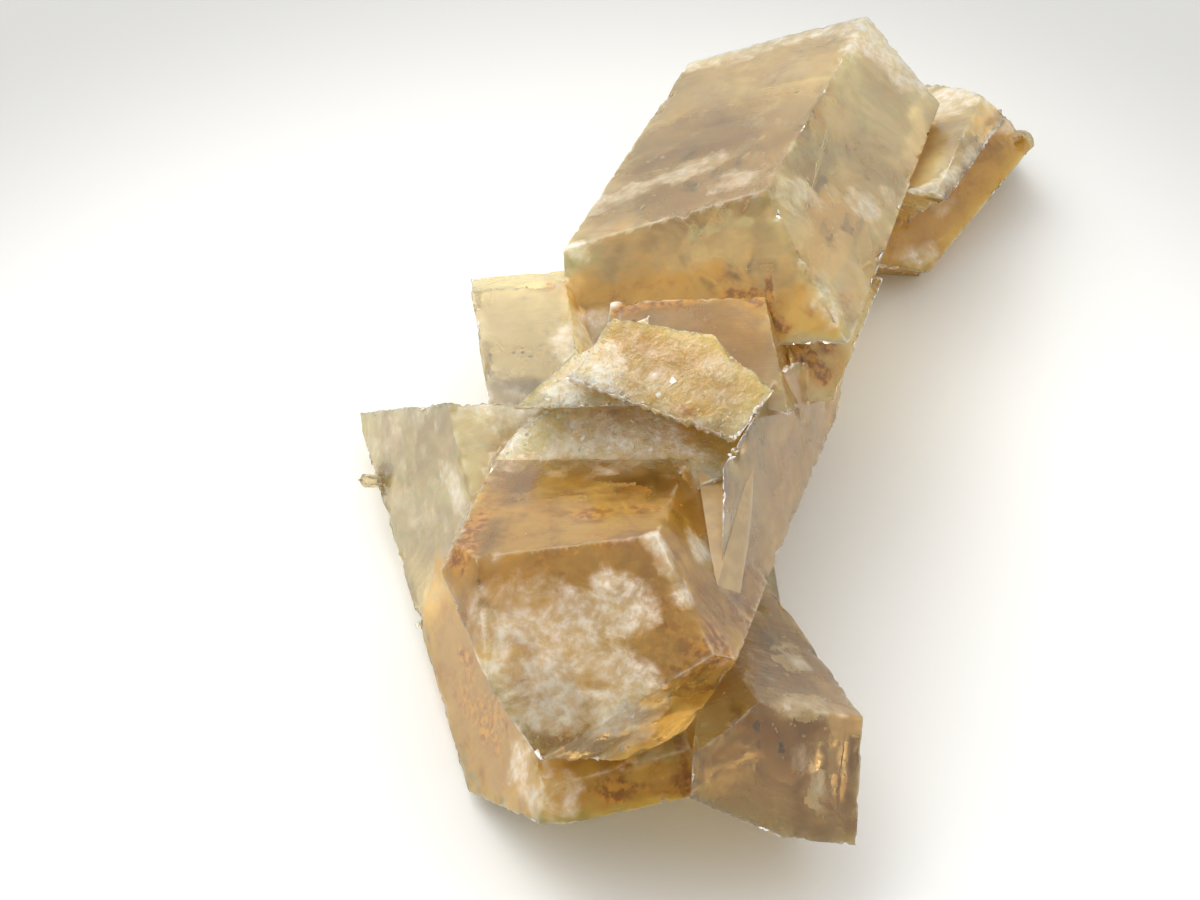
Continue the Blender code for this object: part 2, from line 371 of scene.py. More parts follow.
# ---------------------------------------------------------------- fine mesh
def refine(bm, limit, rounds=9):
    """Halves every edge that is longer than its limit, until none is left."""
    for k in range(rounds):
        longer = [e for e in bm.edges if e.calc_length() > limit(e)]
        if not longer:
            break
        bmesh.ops.subdivide_edges(bm, edges=longer, cuts=1, use_grid_fill=False)
        bmesh.ops.triangulate(bm, faces=[f for f in bm.faces if len(f.verts) > 3])
        if k < 4:
            flat = [e for e in bm.edges if len(e.link_faces) == 2 and e.calc_face_angle(1.0) < 0.002]
            bmesh.ops.beautify_fill(bm, faces=bm.faces[:], edges=flat, method="ANGLE")


bm = cad_bm.copy()
bmesh.ops.remove_doubles(bm, verts=bm.verts, dist=1e-6)
bmesh.ops.dissolve_limit(bm, angle_limit=math.radians(0.4), verts=bm.verts, edges=bm.edges)
bmesh.ops.triangulate(bm, faces=bm.faces)
print("union", len(bm.faces))

seg = []
for e in bm.edges:
    if len(e.link_faces) == 2 and e.calc_face_angle(0.0) > math.radians(12) and e.is_convex:
        a, b = e.verts[0].co, e.verts[1].co
        if max(a.z, b.z) > 0.1 * MM:
            seg.append((tuple(a), tuple(b)))
seg = np.array(seg)


def edge_distance(points):
    """Distance in metres from each point to the nearest outer edge of the crystals."""
    best = np.full(len(points), 1.0)
    for a, b in seg:
        d = b - a
        t = np.clip(((points - a) @ d) / max(d @ d, 1e-18), 0, 1)
        best = np.minimum(best, np.linalg.norm(points - (a + t[:, None] * d), axis=1))
    return best


grid = kdtree.KDTree(len(seg) * 12)
k = 0
for a, b in seg:
    for t in np.linspace(0, 1, 12):
        grid.insert(Vector(a + (b - a) * t), k)
        k += 1
grid.balance()

EDGE, FACE, GROUND = 0.60 * MM, 1.02 * MM, 4.0 * MM


def limit(e):
    m = (e.verts[0].co + e.verts[1].co) / 2
    if e.verts[0].co.z < 1e-6 and e.verts[1].co.z < 1e-6:
        return GROUND if len(e.link_faces) == 2 and all(abs(f.normal.z) > 0.99 for f in e.link_faces) else EDGE * 2
    near = grid.find(m)[2]
    return EDGE if near < 0.7 * MM else FACE


refine(bm, limit)
bmesh.ops.recalc_face_normals(bm, faces=bm.faces)
bm.verts.index_update()
bm.faces.index_update()
print("fine mesh", len(bm.verts), len(bm.faces))

co = np.array([v.co for v in bm.verts])
tri = np.array([[v.index for v in f.verts] for f in bm.faces])
fn = np.array([f.normal for f in bm.faces])
fc = co[tri].mean(axis=1)
area = np.array([f.calc_area() for f in bm.faces])

# which crystal and which of its faces every triangle belongs to
face_of = np.full(len(tri), -1)
best = np.full(len(tri), 1.0)
for i, (name, label, n, off, axis, slope) in enumerate(PLANES):
    miss = np.abs(fc @ n - off) + (1 - np.clip(fn @ n, -1, 1)) * 0.02
    ok = (miss < best) & (miss < 6e-5)
    best[ok] = miss[ok]
    face_of[ok] = i
print("unlabelled", int((face_of < 0).sum()), "of", len(tri))

names = list(CRYSTALS)
plane_n = np.array([p[2] for p in PLANES])
plane_crystal = np.array([names.index(p[0]) for p in PLANES])
plane_axis = np.array([p[4] for p in PLANES])
plane_prism = np.array([1.0 if p[1].startswith("m") and 80 < p[5] < 100 and (p[0], p[1]) not in BROKEN else 0.0 for p in PLANES])
plane_rough = np.array([BROKEN.get((p[0], p[1]), 0.0) for p in PLANES])
lab = np.where(face_of < 0, 0, face_of)
known = face_of >= 0
tri_rough = np.where(known, plane_rough[lab], np.where(fc[:, 2] < 1e-5, 0.0, 0.3))
tri_prism = np.where(known, plane_prism[lab], 0.0)
tri_crystal = np.where(known, plane_crystal[lab], -1)
tri_axis = np.where(known[:, None], plane_axis[lab], np.array((0.0, 1.0, 0.0)))
tri_side = np.cross(tri_axis, fn)
tri_side /= np.maximum(np.linalg.norm(tri_side, axis=1), 1e-6)[:, None]


def to_verts(values, weight):
    """Area weighted mean of triangle values at the vertices."""
    shape = (len(co),) + values.shape[1:]
    total, w = np.zeros(shape), np.zeros(len(co))
    for k in range(3):
        np.add.at(total, tri[:, k], values * (weight if values.ndim == 1 else weight[:, None]))
        np.add.at(w, tri[:, k], weight)
    w = np.maximum(w, 1e-20)
    return total / (w if values.ndim == 1 else w[:, None])


v_rough = to_verts(tri_rough, area)
v_prism = to_verts(tri_prism, area)
v_axis = to_verts(tri_axis, area)
v_normal = to_verts(fn, area)
v_normal /= np.maximum(np.linalg.norm(v_normal, axis=1), 1e-9)[:, None]
edge_d = edge_distance(co) / MM
q = co / MM

# ---------------------------------------------------------------- relief
t_axis = np.einsum("ij,ij->i", q, v_axis)
side = np.cross(v_axis, v_normal)
side /= np.maximum(np.linalg.norm(side, axis=1), 1e-6)[:, None]
s_axis = np.einsum("ij,ij->i", q, side)
stria = np.stack([t_axis * 0.34, s_axis * 0.03, np.round(v_normal[:, 0] * 4)], axis=1)
lines = fbm(stria, 2, 5) - 0.5
wide = fbm(np.stack([t_axis * 0.12, s_axis * 0.02, np.round(v_normal[:, 1] * 4)], axis=1), 2, 9) - 0.5
inner = step(0.15, 1.6, edge_d)

push = np.zeros(len(co))
push += v_prism * inner * (lines * 0.06 + wide * 0.14)
push += (1 - v_prism) * (1 - step(0, 0.2, v_rough)) * inner * ((fbm(q * 0.22, 3, 21) - 0.5) * 0.16 + (ridged(q * 0.5, 2, 23) - 0.5) * 0.05)
crack = ridged(q * np.array((0.26, 0.32, 0.28)), 3, 31)
shell = fbm(q * 0.13, 3, 37)
push -= v_rough * (0.55 * crack + 1.1 * np.abs(shell - 0.5) + 0.35 * (fbm(q * 0.55, 2, 41) - 0.3))
# worn and chipped outer edges
chip = step(0.57, 0.74, fbm(q * 0.36, 3, 51)) * step(1.5, 0.0, edge_d)
nick = step(0.60, 0.72, vnoise(q * 1.15, 57)) * step(0.7, 0.0, edge_d)
push -= (0.38 * chip + 0.14 * nick) * (1 - 0.3 * step(0.1, 0.5, v_rough))
push *= MM
ground = co[:, 2] < 1e-6
push[ground] = 0
moved = co + v_normal * push[:, None]
moved[:, 2] = np.maximum(moved[:, 2], np.where(ground, 0.0, 0.02 * MM))

# ---------------------------------------------------------------- colour zones
# Body colour of each crystal (linear), as thick clear quartz of that place shows.
TINT = {
    "front": (0.86, 0.62, 0.30), "upper": (0.88, 0.72, 0.47), "middle": (0.78, 0.54, 0.23),
    "flank": (0.76, 0.56, 0.30), "right": (0.80, 0.63, 0.40), "left": (0.86, 0.77, 0.51),
    "small": (0.84, 0.73, 0.52), "wing": (0.86, 0.68, 0.40), "stained": (0.78, 0.52, 0.17),
    "plate": (0.90, 0.66, 0.32), "tongue": (0.90, 0.75, 0.47), "rim": (0.88, 0.70, 0.40),
    "root": (0.74, 0.55, 0.30), "sliver": (0.90, 0.75, 0.48),
}
# per-face tints: partly the deeper or paler part of the crystal each face looks into, partly painted light and shade,
# faces made lighter or darker for how the light falls on and through them
FACE_TINT_AND_LIGHT = {
    ("upper", "m0"): (0.80, 0.76, 0.66), ("upper", "m-1"): (1.07, 1.08, 1.16), ("upper", "t0"): (1.07, 1.09, 1.16),
    ("upper", "t1"): (1.06, 1.10, 1.00), ("stained", "face"): (1.08, 1.04, 0.62), ("small", "m0"): (0.60, 0.60, 0.56),
    ("middle", "m0"): (0.66, 0.60, 0.36), ("flank", "face"): (0.96, 0.86, 0.62), ("plate", "face"): (0.84, 0.80, 0.68),
    ("rim", "face"): (1.05, 1.24, 1.50), ("front", "m0"): (0.78, 0.68, 0.48), ("front", "m-1"): (0.90, 0.72, 0.42),
    ("front", "t0"): (0.94, 0.84, 0.58), ("front", "t-2"): (0.92, 0.86, 0.64), ("front", "t1"): (0.90, 0.86, 0.72),
    ("left", "m1"): (0.80, 0.80, 0.80), ("left", "t0"): (1.02, 0.88, 0.42), ("right", "m0"): (0.86, 0.80, 0.70),
    ("right", "t0"): (0.94, 0.88, 0.70), ("right", "m1"): (1.12, 1.20, 1.30), ("tongue", "face"): (0.74, 0.72, 0.68),
}
# Stains and clouds: places in the 1200 x 900 view, joined two by two, a radius in
# mm and a strength. Each is a soft round body in the crystal, not a mark on a view.
ZONES = {
    "gold": [
        (595, 304, 700, 292, 4.6, 1.0), (700, 292, 818, 322, 4.6, 1.0), (640, 262, 655, 290, 2.4, .7), (625, 255, 640, 300, 5, .6),
        (940, 240, 1005, 165, 7, 1.1), (905, 250, 930, 215, 4, .8), (500, 545, 700, 580, 8, 1.25), (620, 600, 715, 640, 8, 1.25), (500, 490, 650, 520, 7, .7), (700, 560, 740, 640, 8, .7),
        (620, 406, 700, 412, 3, .8), (560, 787, 690, 785, 4, 1.1), (505, 780, 550, 800, 3, .5),
        (690, 432, 742, 462, 4, .9), (455, 555, 500, 500, 4, .7), (640, 650, 725, 640, 6, 1.3), (695, 560, 735, 640, 5, 1.0),
        (455, 650, 505, 740, 10, 1.7), (470, 740, 520, 790, 6, .8), (470, 620, 480, 660, 4, .7), (715, 775, 735, 780, 3, .5),
        (600, 420, 650, 440, 4, .5), (690, 740, 712, 750, 2, .6), (800, 350, 835, 370, 4, .7),
    ],
    "iron": [
        (466, 680, 494, 730, 4.4, .62), (600, 792, 688, 785, 1.8, .75), (680, 742, 688, 796, 1.3, .9),
        (458, 560, 480, 518, 2.4, .95), (612, 309, 755, 297, 1.3, 1.0), (755, 298, 822, 374, 1.6, 1.1),
        (728, 297, 752, 297, 1.5, 1.2), (768, 276, 770, 300, 1.0, 1.0), (575, 512, 658, 510, 2.2, .65),
        (505, 552, 600, 545, 1.6, .5), (525, 575, 600, 560, 4.5, .5), (650, 600, 700, 640, 5, .6),
        (655, 660, 718, 650, 4.6, .75), (700, 610, 722, 645, 2.4, .6), (648, 352, 655, 358, 2.4, .45),
        (610, 411, 690, 412, 1.0, .9), (748, 432, 775, 462, 3.0, .45), (963, 186, 970, 190, 1.8, .6),
        (1002, 172, 1008, 168, 1.4, .6), (905, 105, 906, 106, .7, .5), (822, 345, 846, 300, 2.6, .55),
        (690, 440, 735, 460, 1.4, .3), 
        (455, 562, 462, 566, 1.2, 1), (545, 272, 552, 290, .9, .5), (468, 312, 470, 340, .8, .5),
         (880, 255, 900, 215, 1.6, .5),
        (630, 590, 660, 620, 2.5, .6), (700, 760, 722, 770, 2.0, .35), (780, 415, 800, 380, 1.4, .4),
    ],
    "smoke": [
        (458, 660, 498, 745, 7, 1.2), (500, 792, 600, 800, 4, .45),
        (845, 715, 858, 842, 2.4, .8), (690, 620, 735, 655, 3, .4), (640, 360, 700, 370, 3, .35),
        (850, 345, 770, 570, 3, .5), (820, 345, 848, 290, 3, .5), (560, 480, 660, 500, 3, .3),
        (700, 70, 770, 110, 5, .3), (730, 200, 725, 245, 2, .3), (540, 760, 640, 745, 2.5, .35),
        (930, 100, 915, 190, 2.5, .5), 
        (500, 310, 540, 360, 4, .25), (760, 705, 850, 715, 2, .3),
    ],
    "milk": [
        (600, 205, 705, 165, 3.0, .6), (725, 180, 792, 200, 3.6, .6), (798, 188, 812, 200, 2.2, .7),
        (860, 206, 868, 203, 2.2, .7), (888, 193, 892, 196, 1.8, .6), (875, 40, 940, 100, 7, .9),
        (700, 60, 850, 25, 3.5, .7), (566, 238, 575, 246, 1.5, .9), (825, 285, 835, 318, 2.4, .6),
        # the milk marks across the top of the front crystal, near y 430 to 470, are partly cloud and partly painted
        # reflection: the whitish sheen of the bright sky on its upper faces
        (490, 612, 600, 610, 3.6, .60), (500, 655, 600, 655, 5.0, .72), (530, 700, 640, 715, 3.8, .85), (520, 430, 640, 430, 4.0, .5), (500, 462, 665, 458, 4.0, .42), (690, 480, 716, 540, 3.0, .35),
        (700, 548, 702, 552, 2.2, .9), (656, 538, 690, 600, 1.5, .7), (575, 447, 600, 440, 1.6, .7),
        (775, 635, 800, 665, 1.7, .6), (775, 706, 830, 706, 2.0, .4), (515, 765, 560, 798, 2.6, .6),
        (442, 466, 460, 500, 1.8, .8), (380, 425, 500, 412, 4.5, .45), (380, 450, 440, 560, 5, .3),
        (500, 400, 600, 360, 4, .6), (560, 350, 590, 325, 2.5, .8), (520, 750, 650, 700, 1.5, .6),
        (600, 760, 645, 735, 1.5, .6), (940, 205, 958, 182, 2.0, .6), (908, 258, 928, 252, 1.8, .6),
        (1010, 125, 935, 190, 1.4, .8), (915, 190, 935, 182, 1.6, .9), 
        (610, 590, 635, 612, 2.6, .8), (580, 650, 630, 680, 3.0, .7), (755, 645, 790, 700, 4, .25),
        (800, 760, 828, 800, 2.2, .35), (630, 440, 680, 470, 2.5, .4), (520, 440, 560, 470, 2.4, .4),
    ],
    "clear": [
        (520, 470, 680, 470, 10, .5), (520, 560, 680, 560, 12, .5), (560, 650, 660, 640, 11, .45), (540, 720, 640, 700, 8, .4),
        (760, 660, 830, 660, 9, .45), (720, 760, 820, 780, 9, .5), (700, 150, 700, 220, 14, .3), (840, 130, 830, 250, 10, .3),
        (1012, 128, 1036, 140, 3, 1), (355, 480, 385, 480, 2, 1), (730, 700, 790, 790, 6, .5),
        (640, 655, 715, 655, 4, .6), (520, 640, 540, 740, 3, .2), (830, 380, 800, 440, 3, .2),
        (480, 300, 540, 380, 5, .2), (700, 480, 740, 600, 3, .3),
    ],
}


def zone(points, marks, seed):
    """Strength of one kind of stain at the points, in mm, with a torn outline."""
    tear = (fbm(points * 0.55, 3, seed) - 0.5)
    tear2 = (fbm(points * 0.16, 2, seed + 5) - 0.5)
    out = np.zeros(len(points))
    for x1, y1, x2, y2, radius, strength in marks:
        a, b = at(x1, y1) / MM, at(x2, y2) / MM
        d = b - a
        t = np.clip(((points - a) @ d) / max(d @ d, 1e-9), 0, 1)
        r = np.linalg.norm(points - (a + t[:, None] * d), axis=1) / radius
        r = r + 0.9 * tear + 0.7 * tear2
        out = np.maximum(out, strength * step(1.25, 0.35, r))
    return out


zones = {kind: zone(q, marks, 100 + 10 * k) for k, (kind, marks) in enumerate(ZONES.items())}
# the same kinds of stain where the photograph does not reach, thinly
behind = step(-0.1, 0.35, -(v_normal @ BACK))
wild = fbm(q * 0.07, 3, 301)
wild2 = fbm(q * 0.1, 3, 307)
zones["gold"] = np.maximum(zones["gold"], step(0.52, 0.68, wild) * 0.8 * behind)
zones["iron"] = np.maximum(zones["iron"], step(0.6, 0.72, wild2) * 0.5 * behind)
zones["milk"] = np.maximum(zones["milk"], step(0.54, 0.7, fbm(q * 0.09, 3, 311)) * 0.26 * behind)
# rough breaks are whiter, and so are the outer edges: partly worn frosting, partly a painted highlight where the edges
# catch the light
worn_edge_and_highlight = np.exp(-edge_d / 0.14) * step(0.46, 0.70, fbm(q * 0.5, 2, 71))
zones["milk"] = np.clip(zones["milk"] + 0.28 * step(0.1, 0.6, v_rough), 0, 1)

tint_of = np.array([TINT[n] for n in names] + [(0.86, 0.70, 0.45)])
tint_of = tint_of * (1.06, 1.01, 0.72)
plane_tint_and_light = np.array([FACE_TINT_AND_LIGHT.get((p[0], p[1]), (1.0, 1.0, 1.0)) for p in PLANES])
tri_tint_and_light = tint_of[tri_crystal] * np.where(known[:, None], plane_tint_and_light[lab], 1.0)
v_tint_and_light = to_verts(np.clip(tri_tint_and_light, 0, 0.94), area)
link = np.array([[e.verts[0].index, e.verts[1].index] for e in bm.edges])
for _ in range(9):              # the colour lies deep, so it does not end at an edge; the painted face light and shade in it is blurred across edges too
    total, count = v_tint_and_light.copy(), np.ones(len(co))
    for i, j in ((0, 1), (1, 0)):
        np.add.at(total, link[:, i], v_tint_and_light[link[:, j]])
        np.add.at(count, link[:, i], 1.0)
    v_tint_and_light = total / count[:, None]

cluster = bpy.data.meshes.new("quartz_cluster_skin")
for v, p in zip(bm.verts, moved):
    v.co = p
bm.to_mesh(cluster)
bm.free()


def store(mesh, name, rgb, alpha=None):
    data = np.ones((len(mesh.vertices), 4), np.float32)
    data[:, :3] = rgb
    if alpha is not None:
        data[:, 3] = alpha
    layer = mesh.attributes.new(name, "FLOAT_COLOR", "POINT")
    layer.data.foreach_set("color", data.ravel())


slow = fbm(q * 0.085, 3, 401)
v_tint_and_light = v_tint_and_light * (0.90 + 0.22 * step(0.35, 0.65, slow))[:, None]
v_tint_and_light = v_tint_and_light + (np.array((0.86, 0.74, 0.52)) - v_tint_and_light) * (0.22 * step(0.5, 0.7, fbm(q * 0.14, 3, 403)))[:, None]
store(cluster, "tint_and_face_light", np.clip(v_tint_and_light, 0, 1))
store(cluster, "stain", np.stack([zones["gold"], zones["iron"], zones["smoke"]], axis=1))
store(cluster, "cloud_and_edge_highlight", np.stack([zones["milk"], zones["clear"], np.clip(worn_edge_and_highlight, 0, 1)], axis=1))
store(cluster, "kind", np.stack([step(0.05, 0.45, v_rough), v_prism, np.clip(edge_d / 4, 0, 1)], axis=1))
# place along and across each crystal, for its growth lines
corner = np.empty((len(tri), 3, 3), np.float32)
p3 = q[tri]
corner[:, :, 0] = np.einsum("ijk,ik->ij", p3, tri_axis)
corner[:, :, 1] = np.einsum("ijk,ik->ij", p3, tri_side)
corner[:, :, 2] = (tri_crystal * 7.0 + np.round(tri_side[:, 0] * 5))[:, None]
grain = cluster.attributes.new("grain", "FLOAT_VECTOR", "CORNER")
order = np.empty(len(cluster.loops), np.int64)
cluster.loops.foreach_get("vertex_index", order)
assert (order.reshape(-1, 3) == tri).all()
grain.data.foreach_set("vector", corner.ravel())

cluster.shade_smooth()
cluster.set_sharp_from_angle(angle=math.radians(24))
cluster.validate()
skin = bpy.data.objects.new("quartz_cluster_skin", cluster)
scene.collection.objects.link(skin)
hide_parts("quartz_cluster")
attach(skin, "root")

# ---------------------------------------------------------------- inside the crystals
def below(p):
    """How many mm a point is under the surface; negative outside."""
    hit, normal, _, dist = cad_tree.find_nearest(Vector(p))
    return (dist if (hit - Vector(p)).dot(normal) > 0 else -dist) / MM


def inside(p, least):
    """True for a point well within the solid, also as seen from the front."""
    hit, normal, _, _ = cad_tree.ray_cast(Vector(p), Vector(BACK))
    return hit is not None and normal.dot(Vector(BACK)) > 0 and below(p) > least


def seal(mesh_name, pts, faces, look):
    """Makes one closed piece of the cluster from points in metres and triangles."""
    me = bpy.data.meshes.new(mesh_name)
    me.from_pydata([tuple(map(float, p)) for p in pts], [], [tuple(map(int, f)) for f in faces])
    me.validate()
    ob = bpy.data.objects.new(mesh_name, me)
    ob["look"] = look
    scene.collection.objects.link(ob)
    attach(ob, "root")
    print(mesh_name, len(me.polygons))
    return ob


def sheet(corners, deep, seed, cover, grain, cell=0.34, bend=0.5, thick=0.05, stretch=(1.0, 1.0)):
    """A ragged healed crack under a parallelogram of the view, as points and triangles."""
    rng = np.random.default_rng(seed)
    o, a, b = (at(x, y, z) for (x, y), z in zip(corners, deep))
    a, b = a - o, b - o
    n = unit(np.cross(a, b))
    if n @ BACK < 0:
        n = -n
    lu, lv = np.linalg.norm(a) / MM, np.linalg.norm(b) / MM
    nu, nv = max(4, int(lu / cell)), max(4, int(lv / cell))
    u, v = np.meshgrid(np.arange(nu + 1) / nu, np.arange(nv + 1) / nv, indexing="ij")
    u = u + rng.uniform(-0.3, 0.3, u.shape) / nu
    v = v + rng.uniform(-0.3, 0.3, v.shape) / nv
    flat = np.stack([u * lu * stretch[0], v * lv * stretch[1], np.full(u.shape, seed * 3.7)], axis=-1).reshape(-1, 3)
    lift = (fbm(flat * 0.22, 3, seed) - 0.5) * 2 * bend + (fbm(flat * 0.9, 2, seed + 3) - 0.5) * 0.35
    pts = (o + u.reshape(-1, 1) * a + v.reshape(-1, 1) * b) + n * (lift * MM)[:, None]
    r = np.hypot(2 * u.ravel() - 1, 2 * v.ravel() - 1)
    mask = 0.55 * fbm(flat * grain, 4, seed + 7, 0.62) + 0.45 * ridged(flat * grain * 0.8, 3, seed + 9)
    mask = mask - 0.30 * step(0.45, 1.15, r)
    cut = np.quantile(mask[r < 1.0], 1 - cover)
    ids = np.arange((nu + 1) * (nv + 1)).reshape(nu + 1, nv + 1)
    quads = np.stack([ids[:-1, :-1], ids[1:, :-1], ids[1:, 1:], ids[:-1, 1:]], axis=-1).reshape(-1, 4)
    tris = np.concatenate([quads[:, [0, 1, 2]], quads[:, [0, 2, 3]]])
    tris = tris[mask[tris].mean(axis=1) > cut]
    used = np.unique(tris)
    safe = np.zeros(len(pts), bool)
    safe[used] = [inside(pts[i], 0.25) for i in used]
    tris = tris[safe[tris].all(axis=1)]
    return close_up(pts, tris, n, thick)


def close_up(pts, tris, n, thick):
    """Gives a sheet a second side and walls, so that it is closed."""
    used, tris = np.unique(tris, return_inverse=True)
    tris = tris.reshape(-1, 3)
    top = pts[used]
    m = len(top)
    edges = {}
    for t in tris:
        for i in range(3):
            e = (t[i], t[(i + 1) % 3])
            edges[e] = edges.get(e, 0) + 1
    walls = []
    for (i, j) in edges:
        if (j, i) not in edges:
            walls += [(j, i, i + m), (j, i + m, j + m)]
    faces = list(map(tuple, tris)) + [(t[2] + m, t[1] + m, t[0] + m) for t in tris] + walls
    return np.concatenate([top, top - n * thick * MM]), faces


def gather(parts):
    pts, faces, k = [], [], 0
    for p, f in parts:
        if len(p):
            pts.append(p)
            faces += [tuple(i + k for i in t) for t in f]
            k += len(p)
    return np.concatenate(pts), faces


def grain_solid(centre, size, rng, flat=1.0, towards=None):
    """A small broken crystal: an uneven closed solid with eight faces."""
    base = np.array([(1, 0, 0), (-1, 0, 0), (0, 1, 0), (0, -1, 0), (0, 0, 1), (0, 0, -1.0)]) * (1, 1, flat)
    base = base * rng.uniform(0.55, 1.15, (6, 1)) + rng.uniform(-0.18, 0.18, (6, 3)) * (1, 1, flat)
    z = unit(rng.normal(size=3) + (0 if towards is None else 2.2 * np.asarray(towards)))
    x = unit(np.cross(z, rng.normal(size=3)))
    spin = np.stack([x, np.cross(z, x), z])
    tris = [(0, 2, 4), (2, 1, 4), (1, 3, 4), (3, 0, 4), (2, 0, 5), (1, 2, 5), (3, 1, 5), (0, 3, 5)]
    return centre + base @ spin * size * MM, tris


def flecks(marks, seed):
    """Tiny flat cracks that show as painted glints, by the near-white of their material: (x, y, spread in px, count,
    size in mm, depths).
    """
    rng = np.random.default_rng(seed)
    out = []
    for x, y, sx, sy, count, size, d0, d1 in marks:
        for _ in range(count):
            px, py = x + rng.normal() * sx, y + rng.normal() * sy
            hit = cad_tree.ray_cast(Vector(EYE), Vector(sight(px, py)))[0]
            if hit is None:
                continue
            c = np.array(hit) + sight(px, py) * rng.uniform(d0, d1) * MM
            if not inside(c, 0.3):
                continue
            out.append(grain_solid(c, size * rng.uniform(0.35, 1.25), rng, 0.10, BACK))
    return gather(out)


veils = gather([
    # the big feathery cloud of the front crystal and its side streaks
    sheet([(470, 596), (640, 592), (500, 746)], (0.6, 0.8, 0.7), 11, 0.44, 0.26, cell=0.28, bend=0.35, stretch=(0.8, 1.3)),
    sheet([(486, 600), (630, 625), (500, 720)], (1.6, 1.8, 2.0), 12, 0.50, 0.34, cell=0.30),
    sheet([(520, 680), (655, 655), (545, 752)], (0.7, 0.7, 0.8), 13, 0.46, 0.36, cell=0.28, stretch=(0.5, 1.7)),
    sheet([(592, 580), (650, 585), (585, 640)], (0.6, 0.6, 0.7), 17, 0.55, 0.4, cell=0.28),
    sheet([(556, 636), (640, 640), (556, 694)], (0.5, 0.5, 0.6), 18, 0.55, 0.34, cell=0.28),
    sheet([(648, 528), (672, 520), (690, 612)], (0.9, 0.9, 1.1), 14, 0.5, 0.8),
    sheet([(683, 530), (722, 534), (684, 570)], (0.8, 0.8, 0.9), 15, 0.62, 0.7),
    sheet([(505, 480), (660, 470), (500, 560)], (2.2, 2.2, 2.6), 16, 0.18, 0.6, stretch=(0.3, 1.6)),
    # veils low in the great upper crystal
    sheet([(592, 205), (712, 152), (610, 238)], (0.8, 0.8, 1.0), 21, 0.42, 0.6, stretch=(0.6, 1.3)),
    sheet([(640, 228), (775, 190), (655, 262)], (1.8, 1.8, 2.0), 22, 0.22, 0.55, stretch=(0.6, 1.3)),
    sheet([(785, 172), (818, 180), (788, 214)], (0.7, 0.7, 0.8), 23, 0.55, 0.8),
    sheet([(850, 190), (880, 196), (852, 218)], (0.7, 0.7, 0.8), 24, 0.6, 0.8),
    sheet([(812, 270), (845, 262), (822, 330)], (0.8, 0.8, 0.9), 25, 0.42, 1.0),
    sheet([(700, 60), (820, 40), (690, 120)], (1.4, 1.4, 1.8), 26, 0.16, 0.5),
    sheet([(850, 40), (960, 80), (830, 110)], (0.9, 0.9, 1.1), 27, 0.34, 0.7),
    # right hand crystal, left one and the shoulder
    sheet([(762, 628), (806, 640), (764, 676)], (1.0, 1.0, 1.2), 31, 0.4, 0.7),
    sheet([(756, 690), (836, 694), (758, 724)], (1.2, 1.2, 1.4), 32, 0.34, 0.6, stretch=(0.5, 1.5)),
    sheet([(800, 755), (835, 765), (795, 812)], (1.0, 1.0, 1.1), 33, 0.3, 0.7),
    sheet([(505, 752), (575, 758), (508, 806)], (0.9, 0.9, 1.0), 41, 0.46, 0.6),
    sheet([(438, 460), (468, 462), (436, 512)], (0.7, 0.7, 0.8), 42, 0.6, 0.9),
    sheet([(380, 430), (450, 425), (400, 540)], (1.4, 1.4, 1.8), 43, 0.16, 0.5),
    sheet([(725, 340), (830, 330), (760, 430)], (1.2, 1.2, 1.5), 51, 0.16, 0.6, stretch=(1.4, 0.5)),
])
seal("inner_veils", *veils, "veil")

# golden brown clouds deeper down
stains = gather([
    sheet([(482, 490), (672, 478), (488, 560)], (2.6, 2.6, 3.4), 61, 0.55, 0.42, stretch=(0.25, 1.7)),
    sheet([(500, 520), (735, 540), (520, 650)], (3.6, 3.6, 4.2), 62, 0.66, 0.34, bend=0.9),
    sheet([(620, 590), (735, 600), (640, 690)], (2.4, 2.4, 2.8), 63, 0.72, 0.36, bend=0.8),
    sheet([(540, 545), (700, 560), (550, 620)], (2.0, 2.0, 2.6), 64, 0.34, 0.7, stretch=(0.7, 1.2)),
    sheet([(452, 655), (510, 670), (462, 745)], (1.0, 1.0, 1.4), 65, 0.66, 0.5),
    sheet([(560, 772), (690, 770), (560, 802)], (0.9, 0.9, 1.2), 66, 0.60, 0.5, stretch=(0.5, 1.5)),
    sheet([(600, 288), (825, 282), (615, 330)], (1.6, 1.6, 2.0), 67, 0.46, 0.4, bend=0.8),
    sheet([(905, 205), (1010, 150), (925, 255)], (1.4, 1.4, 1.8), 68, 0.55, 0.5),
    sheet([(720, 330), (850, 350), (745, 420)], (1.8, 1.8, 2.2), 69, 0.40, 0.5, stretch=(1.4, 0.5)),
    sheet([(835, 700), (868, 700), (830, 840)], (1.2, 1.2, 1.4), 70, 0.55, 0.5),
])
seal("inner_stains", *stains, "stain")

